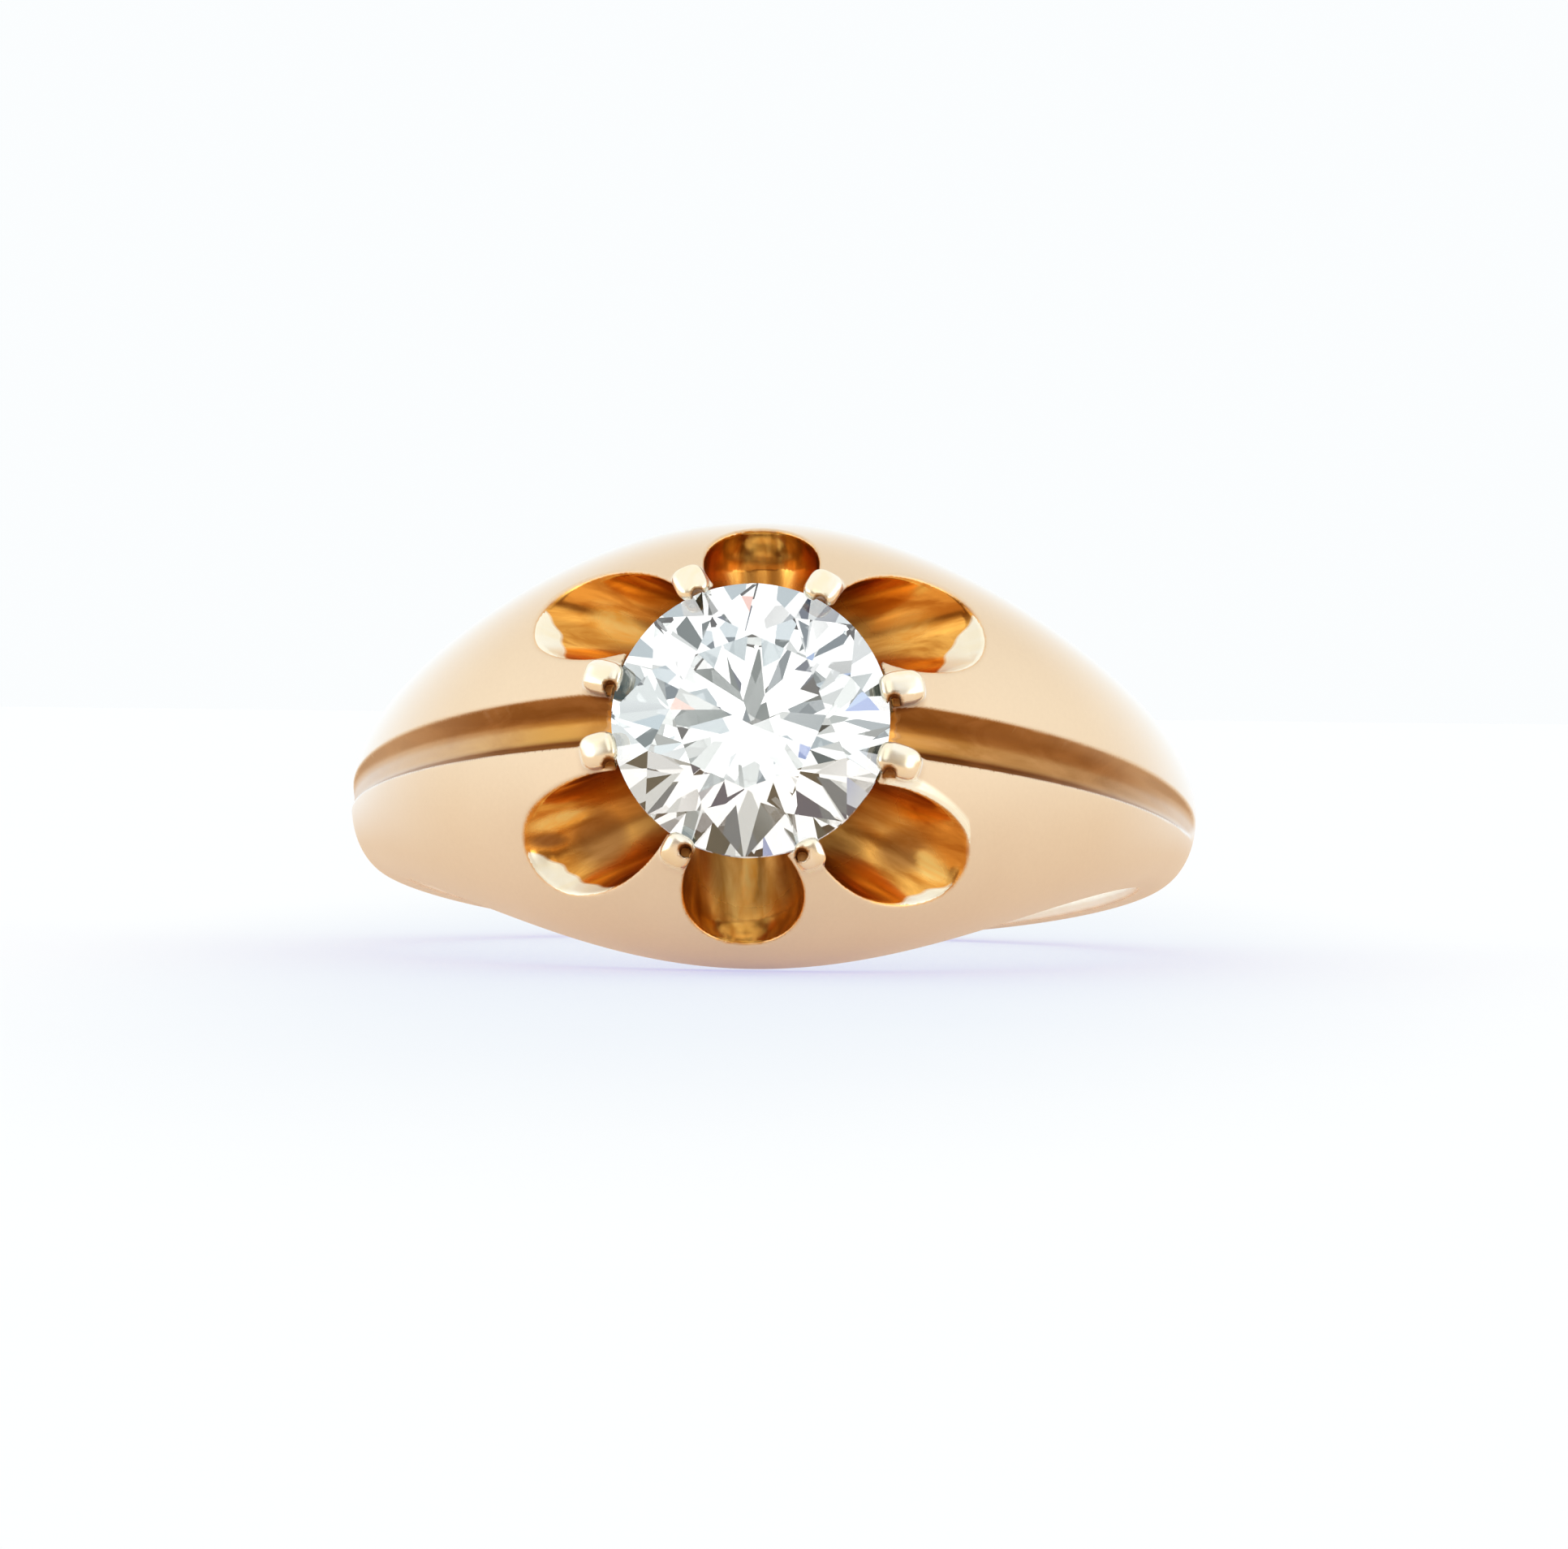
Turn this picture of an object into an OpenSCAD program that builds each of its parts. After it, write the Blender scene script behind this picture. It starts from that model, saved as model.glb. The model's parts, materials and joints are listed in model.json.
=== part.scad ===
// Solitaire ring: one cast and carved gold body with a round stone held level with its top.
// It lies as a ring lies when it is put down: the finger hole nearly upright, the stone facing -Y.
// Millimetres. The floor is Z = 0 and the middle of the ring's box is X = 0, Y = 0.

/* [Finger hole] */
// radius of the finger hole
bore_r = 9.1; // [7:0.05:11.5]

/* [Shank and shoulders] */
// distance from the finger axis to the outside of the band behind the finger
shank_r = 10.63; // [9:0.01:13]
// radius of the long shoulder curve on each side
shoulder_r = 13.2; // [11:0.1:20]
// angle from the stone at which a shoulder curve runs into the round shank
blend_angle = 100; // [80:1:130]
// distance from the middle at which the top curve meets a shoulder curve
top_meet = 3.5; // [2:0.1:5]
// half of the band's width beside the stone
head_half_w = 5.4; // [3.5:0.05:7]
// half of the band's width at the back
back_half_w = 1.43; // [0.8:0.01:3]
// angle over which the wide head narrows to the band
taper_angle = 56; // [35:1:80]
// how far the side of the head stands off the finger hole
head_side = 0.12; // [0.05:0.01:1]
// how far the side of the band stands off the finger hole at the back
back_side = 0.27; // [0.05:0.01:1]
// how square the dome of the head is, 2 being round
head_square = 2.34; // [2:0.01:3]
// rounding of the two rims of the finger hole
rim_round = 0.22; // [0.05:0.01:0.4]

/* [Stone] */
// diameter of the stone over its girdle
stone_d = 6.5; // [4:0.05:8]
// height of the girdle above the finger axis
girdle_z = 12.25; // [11.5:0.05:14]
// width of the table as a share of the stone's diameter
table_share = 0.56; // [0.5:0.01:0.65]
// height of the crown as a share of the stone's diameter
crown_share = 0.15; // [0.1:0.005:0.2]
// depth of the pavilion as a share of the stone's diameter
pavilion_share = 0.435; // [0.38:0.005:0.45]
// thickness of the girdle where it is thinnest
girdle_t = 0.12; // [0.05:0.01:0.3]
// gap between the stone and the gold
stone_gap = 0.03; // [0.02:0.01:0.1]

/* [Setting] */
// turn of the carved pattern against the band
pattern_turn = -1.4; // [-5:0.1:5]
// radius of one claw
claw_r = 0.43; // [0.3:0.01:0.7]
// distance of a claw's middle from the middle of the stone
claw_out = 3.54; // [3:0.01:4.5]
// height of a claw's tip above the girdle
claw_rise = 0.5; // [0.2:0.01:1]
// radius of the open well below the stone
well_r = 2.4; // [1.5:0.05:2.6]

/* [Grooves] */
// distance of a shoulder groove's upper edge from the middle of the band
groove_up = 0.56; // [0.3:0.01:0.9]
// distance of its lower edge from the middle of the band
groove_down = 0.72; // [0.3:0.01:0.9]
// width of the flat along a groove's floor
groove_floor = 0.5; // [0.1:0.01:0.8]
// how far below the middle of the band the floor's own middle lies
floor_drop = 0.16; // [0:0.01:0.3]
// greatest depth of a shoulder groove
groove_d = 0.42; // [0.1:0.01:0.7]
// how much flatter a groove's curve is than the shoulder, which makes its end run out
groove_ease = 0.78; // [0:0.01:1.5]

/* [Hidden] */

gold = [0.86, 0.66, 0.42];
clear = [0.93, 0.95, 0.96];

stone_r = stone_d / 2;
fold = 8;                      // the stone's main facets, above and below
step = 360 / fold;
half = step / 2;
wide_r = stone_r / cos(half / 2);   // the facets' outer corners, which the round girdle cuts off
table_r = stone_r * table_share;
crown_h = stone_d * crown_share;
pavilion_h = stone_d * pavilion_share;
claw_reach = 0.6;      // length of a claw's straight part below its round tip
star_share = 0.5;      // how far the star facets reach from the table to the girdle
lower_share = 0.77;    // how far the lower small facets reach from the girdle to the tip
seat_r = stone_r + stone_gap;
edge = 0.15;           // half the height of the room for the girdle at its thickest
crown_room = 1.2;      // width of the room cut over the crown, under the claws
crown_steep = 0.75;    // its rise for each millimetre inward, which clears the crown below the claws
bearing_h = 0.9;       // height of the seat from the well up to the girdle
well_depth = 5;        // the well runs down into the finger hole
scoop_in = 0.5;        // a scoop's cutter starts this far from the stone's middle, in the well
deepest = 25;          // angle from the stone at which a groove is deepest
groove_below = 50;     // a groove's cutter runs this far below the finger axis
groove_above = 66;     // and this far up, past the edge of the stone

// the eight claws by their direction round the stone
CLAWS = [14, 64, 116, 166, 194, 244, 296, 346];

// scoops, each a round-ended cutter: direction, distance of its middle line from the stone's middle,
// distance and height of its round end, its radius, growth of the radius outward, slope of the line
SCOOPS = [
    [ 93.0, -0.25, 3.70, 11.66, 1.35, 0.21, 13.7],
    [278.0, -0.58, 3.98, 11.67, 1.40, 0.11, 15.9],
    [ 15.0,  1.60, 5.27, 11.68, 1.36, 0.08,  7.0],
    [168.5, -1.80, 5.40, 11.76, 1.30, 0.09,  4.0],
    [206.5,  0.80, 5.44, 11.52, 1.40, 0.08,  1.0],
    [336.0, -1.15, 5.40, 11.80, 1.50, 0.12,  6.2]];
DIRECTION = 0; ASIDE = 1; REACH = 2; HEIGHT = 3; RADIUS = 4; GROWTH = 5; SLOPE = 6;

// centre of the shoulder curve on the +X side, tangent to the shank at blend_angle
shoulder_x = -(shoulder_r - shank_r) * sin(blend_angle);
shoulder_z = -(shoulder_r - shank_r) * cos(blend_angle);
// the top curve is tangent to both shoulders and centred over the finger axis
meet_z = shoulder_z + sqrt(pow(shoulder_r, 2) - pow(top_meet - shoulder_x, 2));
top_r = top_meet * shoulder_r / (top_meet - shoulder_x);
top_z = meet_z - top_r * (meet_z - shoulder_z) / shoulder_r;
meet_angle = atan2(top_meet, meet_z);

// distance from the finger axis to an arc, along the ray at angle a from the stone
function ray_to_arc(a, cx, cz, r) =
    let (along = cx * sin(a) + cz * cos(a))
    along + sqrt(r * r - cx * cx - cz * cz + along * along);

// crest of the ring at angle a, 0 at the stone and 180 at the back
function crest(a) =
    a < meet_angle ? ray_to_arc(a, 0, top_z, top_r) :
    a < blend_angle ? ray_to_arc(a, shoulder_x, shoulder_z, shoulder_r) :
    shank_r;

// share of the head in a section: 1 at the stone, 0 far round the band
function head_share(a) = exp(-pow(a / taper_angle, 2));
function blend(a, back, head) = back + (head - back) * head_share(a);
function half_w(a) = blend(a, back_half_w, head_half_w);
function side_r(a) = bore_r + blend(a, back_side, head_side);
function square(a) = blend(a, 2, head_square);

// one section of the band as [along the finger axis, distance from the axis]
dome_steps = 16;
inner_r = bore_r - 0.6;   // the finger hole is cut through at its own radius afterwards
function dome(a, s) =
    [half_w(a) * s, side_r(a) + (crest(a) - side_r(a)) * sqrt(1 - pow(abs(s), square(a)))];
function section(a) = concat(
    [for (k = [0:dome_steps]) dome(a, sin(-90 + 180 * k / dome_steps))],
    [[half_w(a) - rim_round * 0.3, bore_r + 0.02],
     [half_w(a) - rim_round, bore_r - 0.1],
     [half_w(a) - rim_round - 0.2, inner_r],
     [-half_w(a) + rim_round + 0.2, inner_r],
     [-half_w(a) + rim_round, bore_r - 0.1],
     [-half_w(a) + rim_round * 0.3, bore_r + 0.02]]);

turns = 80;
corners = dome_steps + 7;
band_points = [for (i = [0:turns - 1])
    let (a = 360 * i / turns, s = section(a > 180 ? 360 - a : a))
    for (p = s) [p[1] * sin(a), p[0], p[1] * cos(a)]];
band_faces = [for (i = [0:turns - 1], j = [0:corners - 1])
    let (i2 = (i + 1) % turns, j2 = (j + 1) % corners,
         p = i * corners + j, q = i2 * corners + j,
         r = i2 * corners + j2, s = i * corners + j2)
    for (f = [[p, r, q], [p, s, r]]) f];

// the tilt at which both the head and the back of the band touch the floor
function head_low(t) = max([for (p = section(0)) -p[0] * cos(t) - p[1] * sin(t)]);
function back_low(t) = max([for (p = section(180)) -p[0] * cos(t) + p[1] * sin(t)]);
function find_tilt(low, high, n) =
    let (mid = (low + high) / 2)
    n == 0 ? mid :
    head_low(mid) > back_low(mid) ? find_tilt(mid, high, n - 1) : find_tilt(low, mid, n - 1);
tilt = find_tilt(5, 25, 24);
rest_z = back_low(tilt);

// the ring's box runs from the stone's table to the back of the band
front_y = (girdle_z + girdle_t / 2 + crown_h) * cos(tilt) + table_r * sin(tilt);
rear_y = max([for (p = section(180)) p[1] * cos(tilt) + p[0] * sin(tilt)]);
rest_y = (front_y - rear_y) / 2;

module at_rest() translate([0, rest_y, rest_z]) rotate([90 - tilt, 0, 0]) children();
module at_stone() rotate([0, 0, pattern_turn]) translate([0, 0, girdle_z]) children();

module band() polyhedron(points = band_points, faces = band_faces, convexity = 6);

module claw()
    translate([claw_out, 0, claw_rise - claw_r]) {
        sphere(r = claw_r, $fn = 48);
        translate([0, 0, -claw_reach]) cylinder(r = claw_r, h = claw_reach, $fn = 48);
    }

// a scoop runs from its round outer end in under the stone, into the well
module scoop(row)
    let (run = row[REACH] - scoop_in)
    rotate([0, 0, row[DIRECTION]]) translate([row[REACH], row[ASIDE], row[HEIGHT] - girdle_z]) {
        sphere(r = row[RADIUS], $fn = 64);
        rotate([0, 90 - row[SLOPE], 0]) translate([0, 0, -run])
            cylinder(r1 = row[RADIUS] - row[GROWTH] * run, r2 = row[RADIUS], h = run, $fn = 64);
    }

// a groove's curve is flatter than the shoulder, so it runs out where the shoulder falls inside it;
// its profile is turned so that up, along the finger axis, is negative
floor_r = shoulder_r - groove_d + groove_ease;
floor_up = groove_floor / 2 - floor_drop;
floor_down = groove_floor / 2 + floor_drop;
module groove()
    translate([shoulder_x - groove_ease * sin(deepest), 0, shoulder_z - groove_ease * cos(deepest)])
        rotate([90, 0, 0]) rotate([0, 0, -groove_below])
            rotate_extrude(angle = groove_below + groove_above, $fn = 180)
                polygon([[floor_r, -floor_up],
                         [floor_r + 2 * groove_d, -2 * groove_up + floor_up],
                         [floor_r + 2 * groove_d, 2 * groove_down - floor_down],
                         [floor_r, floor_down]]);

// room for the girdle, the crown under the claws, the pavilion and the open well
module seat() {
    translate([0, 0, -edge]) cylinder(r = seat_r, h = 2 * edge, $fn = 96);
    translate([0, 0, edge])
        cylinder(r1 = seat_r, r2 = seat_r - crown_room, h = crown_room * crown_steep, $fn = 96);
    translate([0, 0, -edge - bearing_h])
        cylinder(r1 = well_r, r2 = seat_r, h = bearing_h, $fn = 96);
    translate([0, 0, -well_depth]) cylinder(r = well_r, h = well_depth - edge, $fn = 96);
}

module ring_body()
    color(gold) at_rest() difference() {
        union() {
            difference() {
                band();
                at_stone() translate([0, 0, -edge]) cylinder(r = seat_r, h = stone_d, $fn = 96);
            }
            at_stone() for (a = CLAWS) rotate([0, 0, a]) claw();
        }
        rotate([90, 0, 0]) cylinder(r = bore_r, h = 4 * head_half_w, center = true, $fn = 240);
        at_stone() for (row = SCOOPS) scoop(row);
        rotate([0, 0, pattern_turn]) for (m = [0, 1]) mirror([m, 0, 0]) groove();
        at_stone() seat();
    }

// round brilliant: a table, eight main facets above and eight below, with the small ones between
mid_r = table_r * cos(half) + star_share * (wide_r - table_r * cos(half));
mid_z = girdle_t / 2 + (wide_r - mid_r * cos(half)) * crown_h / (wide_r - table_r);
low_r = wide_r * (1 - lower_share);
low_z = -girdle_t / 2 - (wide_r - low_r * cos(half)) * pavilion_h / wide_r;
function rim(n, r, z, start) = [for (i = [0:n - 1])
    [r * cos(start + i * 360 / n), r * sin(start + i * 360 / n), z]];
stone_points = concat(
    rim(fold, table_r, girdle_t / 2 + crown_h, 0),
    rim(fold, mid_r, mid_z, half),
    rim(2 * fold, wide_r, girdle_t / 2, 0),
    rim(2 * fold, wide_r, -girdle_t / 2, 0),
    rim(fold, low_r, low_z, half),
    [[0, 0, -girdle_t / 2 - pavilion_h]]);
MID = fold; TOP = 2 * fold; LOW = 4 * fold; DEEP = 6 * fold; TIP = 7 * fold;
stone_faces = concat(
    [[for (i = [fold - 1:-1:0]) i]],
    [for (i = [0:fold - 1]) let (n = (i + 1) % fold, b = (i + fold - 1) % fold)
        for (f = [
            [i, n, MID + i],
            [i, MID + i, TOP + 2 * i, MID + b],
            [MID + i, TOP + 2 * i + 1, TOP + 2 * i],
            [MID + i, TOP + 2 * n, TOP + 2 * i + 1],
            [TOP + 2 * i, TOP + 2 * i + 1, LOW + 2 * i + 1, LOW + 2 * i],
            [TOP + 2 * i + 1, TOP + 2 * n, LOW + 2 * n, LOW + 2 * i + 1],
            [DEEP + i, LOW + 2 * i, LOW + 2 * i + 1],
            [DEEP + i, LOW + 2 * i + 1, LOW + 2 * n],
            [TIP, DEEP + b, LOW + 2 * i, DEEP + i]]) f]);

// the facets are cut off by the round girdle, which leaves it thicker at their corners
module stone()
    color(clear) at_rest() at_stone() intersection() {
        polyhedron(points = stone_points, faces = stone_faces, convexity = 2);
        translate([0, 0, -stone_r]) cylinder(r = stone_r, h = stone_d, $fn = 96);
    }

ring_body();
stone();
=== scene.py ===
"""A solitaire ring of satin gold, carved round a brilliant-cut stone, lying on a pale floor."""
import json
import logging
import math
from dataclasses import dataclass, field
from enum import Enum

import bmesh
import bpy
import numpy as np
from mathutils import Matrix, Vector


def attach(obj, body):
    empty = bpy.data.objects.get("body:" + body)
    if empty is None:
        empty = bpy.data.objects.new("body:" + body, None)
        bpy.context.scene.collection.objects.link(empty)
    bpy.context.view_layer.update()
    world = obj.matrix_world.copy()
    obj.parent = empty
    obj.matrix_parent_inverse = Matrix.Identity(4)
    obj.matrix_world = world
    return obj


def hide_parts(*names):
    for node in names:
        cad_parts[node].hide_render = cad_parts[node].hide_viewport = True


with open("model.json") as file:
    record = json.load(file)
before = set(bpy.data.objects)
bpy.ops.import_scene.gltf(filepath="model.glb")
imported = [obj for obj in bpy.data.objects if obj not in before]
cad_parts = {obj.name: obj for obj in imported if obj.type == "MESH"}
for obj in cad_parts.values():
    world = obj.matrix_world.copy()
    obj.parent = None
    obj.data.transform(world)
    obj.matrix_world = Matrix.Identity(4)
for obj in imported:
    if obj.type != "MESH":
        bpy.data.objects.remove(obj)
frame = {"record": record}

LOG = logging.getLogger("ring")
MM = 0.001
CUT_PLACE = "cut_place"
Grid = np.ndarray
Span = tuple[float, float]
Triple = tuple[float, float, float]
Colour = Triple
Socket = bpy.types.NodeSocket


class Mask(Enum):
    """The masks painted on the ring, which say where the gold isn't satin and where highlights and
    shade are painted into its colour.
    """

    POLISHED = "polished"
    # the grooves' own finish and lines, with painted shade: a darker colour
    GROOVE_FINISH_AND_SHADE = "grooved"
    # painted shade: dark brown on the groove walls, in the nicks, round the stone and in given ovals
    WALL = "groove_wall"
    # painted highlights at the scoops' outer ends and beside the last scoop
    END = "scoop_end"
    # painted highlights: pale streaky ovals in the scoops
    PAINTED_HIGHLIGHT = "gleam"
    # the polished claws, with their near white colour a painted highlight
    RAISED_POLISH_AND_HIGHLIGHT = "raised"
    # painted highlight on the bore's rim and inner wall
    RIM_HIGHLIGHT = "rim"


def soft_max(a: Grid, b: Grid, width: float) -> Grid:
    """Joins two distances where both have to be inside; the edge is rounded over width mm."""
    near = np.maximum(width - np.abs(a - b), 0.0) / width
    return np.maximum(a, b) + near * near * width * 0.25


def soft_min(a: Grid, b: Grid, width: float) -> Grid:
    """Joins two distances where either may be inside; the corner is rounded over width mm."""
    return -soft_max(-a, -b, width)


def ramp(value: Grid, low: float, high: float) -> Grid:
    """Shares that step smoothly from 0 at low to 1 at high."""
    t = np.clip((value - low) / (high - low), 0.0, 1.0)
    return t * t * (3.0 - 2.0 * t)


def rotated(x: Grid, y: Grid, degrees: float) -> tuple[Grid, Grid]:
    """Measures places along two lines at right angles, turned by degrees from X and Y."""
    a = math.radians(degrees)
    return x * math.cos(a) + y * math.sin(a), y * math.cos(a) - x * math.sin(a)


@dataclass(frozen=True)
class BandSizes:
    """Sizes of the shank, shoulders and domed head, in mm, in the ring's own frame.

    There the finger axis is Y, the stone faces +Z and the finger axis passes through the origin.
    """

    bore_r: float = 9.1
    shank_r: float = 10.63
    shoulder_r: float = 13.2
    blend_deg: float = 100.0
    top_meet: float = 3.5
    head_half_w: float = 5.4
    back_half_w: float = 1.43
    taper_deg: float = 56.0
    head_side: float = 0.12
    back_side: float = 0.27
    head_square: float = 2.34
    rim_round: float = 0.3
    least_slope: float = 0.3

    def shoulder_centre(self) -> Span:
        """Centre of the shoulder curve on the +X side, as X and Z."""
        reach, a = self.shoulder_r - self.shank_r, math.radians(self.blend_deg)
        return -reach * math.sin(a), -reach * math.cos(a)

    def top_curve(self) -> Triple:
        """Height of the centre, radius and end angle in degrees of the curve over the stone."""
        cx, cz = self.shoulder_centre()
        meet_z = cz + math.sqrt(self.shoulder_r**2 - (self.top_meet - cx) ** 2)
        radius = self.top_meet * self.shoulder_r / (self.top_meet - cx)
        centre = meet_z - radius * (meet_z - cz) / self.shoulder_r
        return centre, radius, math.degrees(math.atan2(self.top_meet, meet_z))


@dataclass(frozen=True)
class ScoopSizes:
    """One round-ended scoop: where its middle line runs and how wide it is, in mm and degrees.

    The line is turned to direction and passes aside of the stone's middle; its round end is at
    reach and height, and the radius there shrinks inward by growth for each mm.
    """

    direction: float
    aside: float
    reach: float
    height: float
    radius: float
    growth: float
    slope: float


@dataclass(frozen=True)
class ClawSizes:
    """One claw: its direction round the stone in degrees, where its middle is and half its sizes."""

    direction: float
    out: float
    long: float
    wide: float


@dataclass(frozen=True)
class Spot:
    """An oval place on the carved pattern, seen from above the stone, in mm and degrees."""

    x: float
    y: float
    long: float
    wide: float
    turn: float
    strength: float


@dataclass(frozen=True)
class SettingSizes:
    """Sizes of what is carved and raised round the stone, in mm.

    Everything carved lies above grooves_low, and the scoops, claws and seat above head_low and
    within head_reach of the middle.
    """

    girdle_z: float = 12.25
    turn_deg: float = -1.4
    grooves_low: float = -8.0
    head_low: float = 7.0
    head_reach: float = 9.0
    seat_r: float = 3.28
    edge: float = 0.15
    bearing_h: float = 0.9
    well_r: float = 2.4
    crown_steep: float = 0.75
    seat_slope: float = 0.8
    seat_lip: float = 0.04
    scoop_lip: float = 0.13
    scoop_in: float = 0.5
    scoops: tuple[ScoopSizes, ...] = (
        ScoopSizes(93.0, -0.25, 3.70, 11.66, 1.35, 0.21, 13.7),
        ScoopSizes(278.0, -0.58, 3.98, 11.67, 1.40, 0.11, 15.9),
        ScoopSizes(15.0, 1.60, 5.27, 11.68, 1.36, 0.08, 7.0),
        ScoopSizes(168.5, -1.80, 5.40, 11.76, 1.30, 0.09, 4.0),
        ScoopSizes(206.5, 0.80, 5.44, 11.52, 1.40, 0.08, 1.0),
        ScoopSizes(336.0, -1.15, 5.40, 11.80, 1.50, 0.12, 6.2),
    )
    groove_up: float = 0.56
    groove_down: float = 0.72
    groove_floor: float = 0.52
    floor_drop: float = 0.22
    groove_d: float = 0.44
    groove_ease: float = 0.78
    deepest_deg: float = 25.0
    groove_foot: float = 0.12
    groove_lip: float = 0.035
    claws: tuple[ClawSizes, ...] = (
        ClawSizes(14.0, 3.60, 0.53, 0.41),
        ClawSizes(64.0, 3.55, 0.43, 0.42),
        ClawSizes(116.0, 3.56, 0.43, 0.40),
        ClawSizes(166.0, 3.59, 0.48, 0.41),
        ClawSizes(194.0, 3.61, 0.45, 0.42),
        ClawSizes(244.0, 3.53, 0.38, 0.37),
        ClawSizes(296.0, 3.50, 0.35, 0.35),
        ClawSizes(346.0, 3.60, 0.52, 0.40),
    )
    claw_high: float = 0.33
    claw_centre: float = 0.10
    claw_square: float = 3.0
    claw_lean: float = 0.28
    claw_depth: float = 0.8
    claw_root: float = 0.12
    nicks: tuple[Span, ...] = (
        (-1.34, 2.86), (1.50, 2.78), (-3.30, 0.59), (-3.22, -1.24),
        (3.34, 0.51), (3.28, -1.20), (-1.35, -3.21), (1.35, -3.20),
    )
    nick_r: float = 0.13
    nick_floor: float = 0.05
    nick_lip: float = 0.05

    def groove_edges(self) -> Span:
        """How far the groove's floor reaches up and down from the middle of the band."""
        return self.groove_floor / 2 - self.floor_drop, self.groove_floor / 2 + self.floor_drop


@dataclass
class RingForm:
    """The gold as one solid form, measured by its distance at any place.

    Places are arrays of three rows, in mm: across the ring, along the finger axis and towards the
    stone. Turned places are in the frame of the carved pattern. A distance is in mm, about right
    near the surface, and below 0 inside the gold or, for a cutter, inside the cutter. The grooves
    are cut only where the dome's distance lies between carved_depths, and far is more than any
    distance that matters.
    """

    band: BandSizes = field(default_factory=BandSizes)
    setting: SettingSizes = field(default_factory=SettingSizes)
    shrink: float = 0.006
    carved_depths: Span = (-2.5, 1.2)
    far: float = 9.0

    def dome(self, places: Grid) -> Grid:
        """Measures the outside of the band, before anything is carved.

        Args:
            places: where to measure.

        Returns:
            The distances.
        """
        b = self.band
        x, y, z = places
        rho = np.maximum(np.hypot(x, z), 1e-6)
        s, c = np.abs(x) / rho, z / rho
        angle = np.degrees(np.arctan2(s, c))
        cx, cz = b.shoulder_centre()
        top_z, top_r, meet = b.top_curve()
        along = cx * s + cz * c
        shoulder = along + np.sqrt(b.shoulder_r**2 - cx * cx - cz * cz + along * along)
        over = top_z * c
        top = over + np.sqrt(np.maximum(top_r**2 - top_z**2 + over * over, 0.0))
        crest = np.where(angle < meet, top, np.where(angle < b.blend_deg, shoulder, b.shank_r))
        head = np.exp(-((angle / b.taper_deg) ** 2))
        width = b.back_half_w + (b.head_half_w - b.back_half_w) * head
        side = b.bore_r + b.back_side + (b.head_side - b.back_side) * head
        square = 2.0 + (b.head_square - 2.0) * head
        high = crest - side
        u, v = np.abs(y) / width, np.maximum(rho - side, 0.0) / high
        lean = u ** (square - 1.0)
        slope = np.hypot(square * lean / width, 2.0 * v / high)
        return (lean * u + v * v - 1.0) / np.maximum(slope, b.least_slope)

    def turned(self, places: Grid) -> Grid:
        """Brings places to the frame of the carved pattern, turned a little on the band."""
        x, y, z = places
        return np.stack([*rotated(x, y, self.setting.turn_deg), z])

    def scoop_place(self, size: ScoopSizes, turned: Grid) -> Grid:
        """Measures places from the middle line of a scoop.

        Args:
            size: the scoop's sizes.
            turned: where to measure.

        Returns:
            Three rows: above the line, beside it, and outward along it from the round end.
        """
        out, aside = rotated(turned[0], turned[1], size.direction)
        out, up = out - size.reach, turned[2] - size.height
        rise = math.radians(size.slope)
        return np.stack([up * math.cos(rise) - out * math.sin(rise), aside - size.aside,
                         up * math.sin(rise) + out * math.cos(rise)])

    def scoop(self, size: ScoopSizes, turned: Grid) -> Grid:
        """Measures one round-ended scoop cutter.

        Args:
            size: the scoop's sizes.
            turned: where to measure.

        Returns:
            The distances.
        """
        above, aside, along = self.scoop_place(size, turned)
        radius = size.radius + size.growth * np.minimum(along, 0.0)
        out = np.maximum(along, 0.0)
        away = np.sqrt(above * above + aside * aside + out * out)
        return np.maximum(away - radius, self.setting.scoop_in - size.reach - along)

    def groove(self, turned: Grid) -> Grid:
        """Measures the cutter of the shoulder grooves, both sides at once.

        Args:
            turned: where to measure.

        Returns:
            The distances.
        """
        s = self.setting
        x, y, z = turned
        cx, cz = self.band.shoulder_centre()
        a = math.radians(s.deepest_deg)
        cx, cz = cx - s.groove_ease * math.sin(a), cz - s.groove_ease * math.cos(a)
        floor_r = self.band.shoulder_r - s.groove_d + s.groove_ease
        high = np.hypot(np.abs(x) - cx, z - cz) - floor_r
        walls = []
        for side, edge, foot in zip((1.0, -1.0), (s.groove_up, s.groove_down), s.groove_edges()):
            lean = (edge - foot) / s.groove_d
            walls.append((side * y - foot - high * lean) / math.hypot(1.0, lean))
        return soft_max(-high, np.maximum(*walls), s.groove_foot)

    def claws(self, turned: Grid) -> Grid:
        """Measures the nearest of the eight claws.

        Args:
            turned: where to measure.

        Returns:
            The distances.
        """
        s = self.setting
        x, y, z = turned
        z = z - s.girdle_z
        best = np.full_like(x, self.far)
        n = s.claw_square
        for claw in s.claws:
            beyond, aside = rotated(x, y, claw.direction)
            beyond = beyond - claw.out
            out, aside = np.abs(beyond) / claw.long, np.abs(aside) / claw.wide
            up = np.maximum(z + s.claw_lean * beyond - s.claw_centre, 0.0) / s.claw_high
            size = (out**n + aside**n + up**n) ** (1.0 / n)
            best = np.minimum(best, np.maximum((size - 1.0) * claw.wide, -s.claw_depth - z))
        return best

    def nicks(self, turned: Grid) -> Grid:
        """Measures the nearest graver's nick beside a claw.

        Args:
            turned: where to measure.

        Returns:
            The distances.
        """
        s = self.setting
        x, y, z = turned
        best = np.full_like(x, self.far)
        for nick_x, nick_y in s.nicks:
            best = np.minimum(best, np.hypot(x - nick_x, y - nick_y))
        return np.maximum(best - s.nick_r, s.nick_floor - (z - s.girdle_z))

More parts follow.
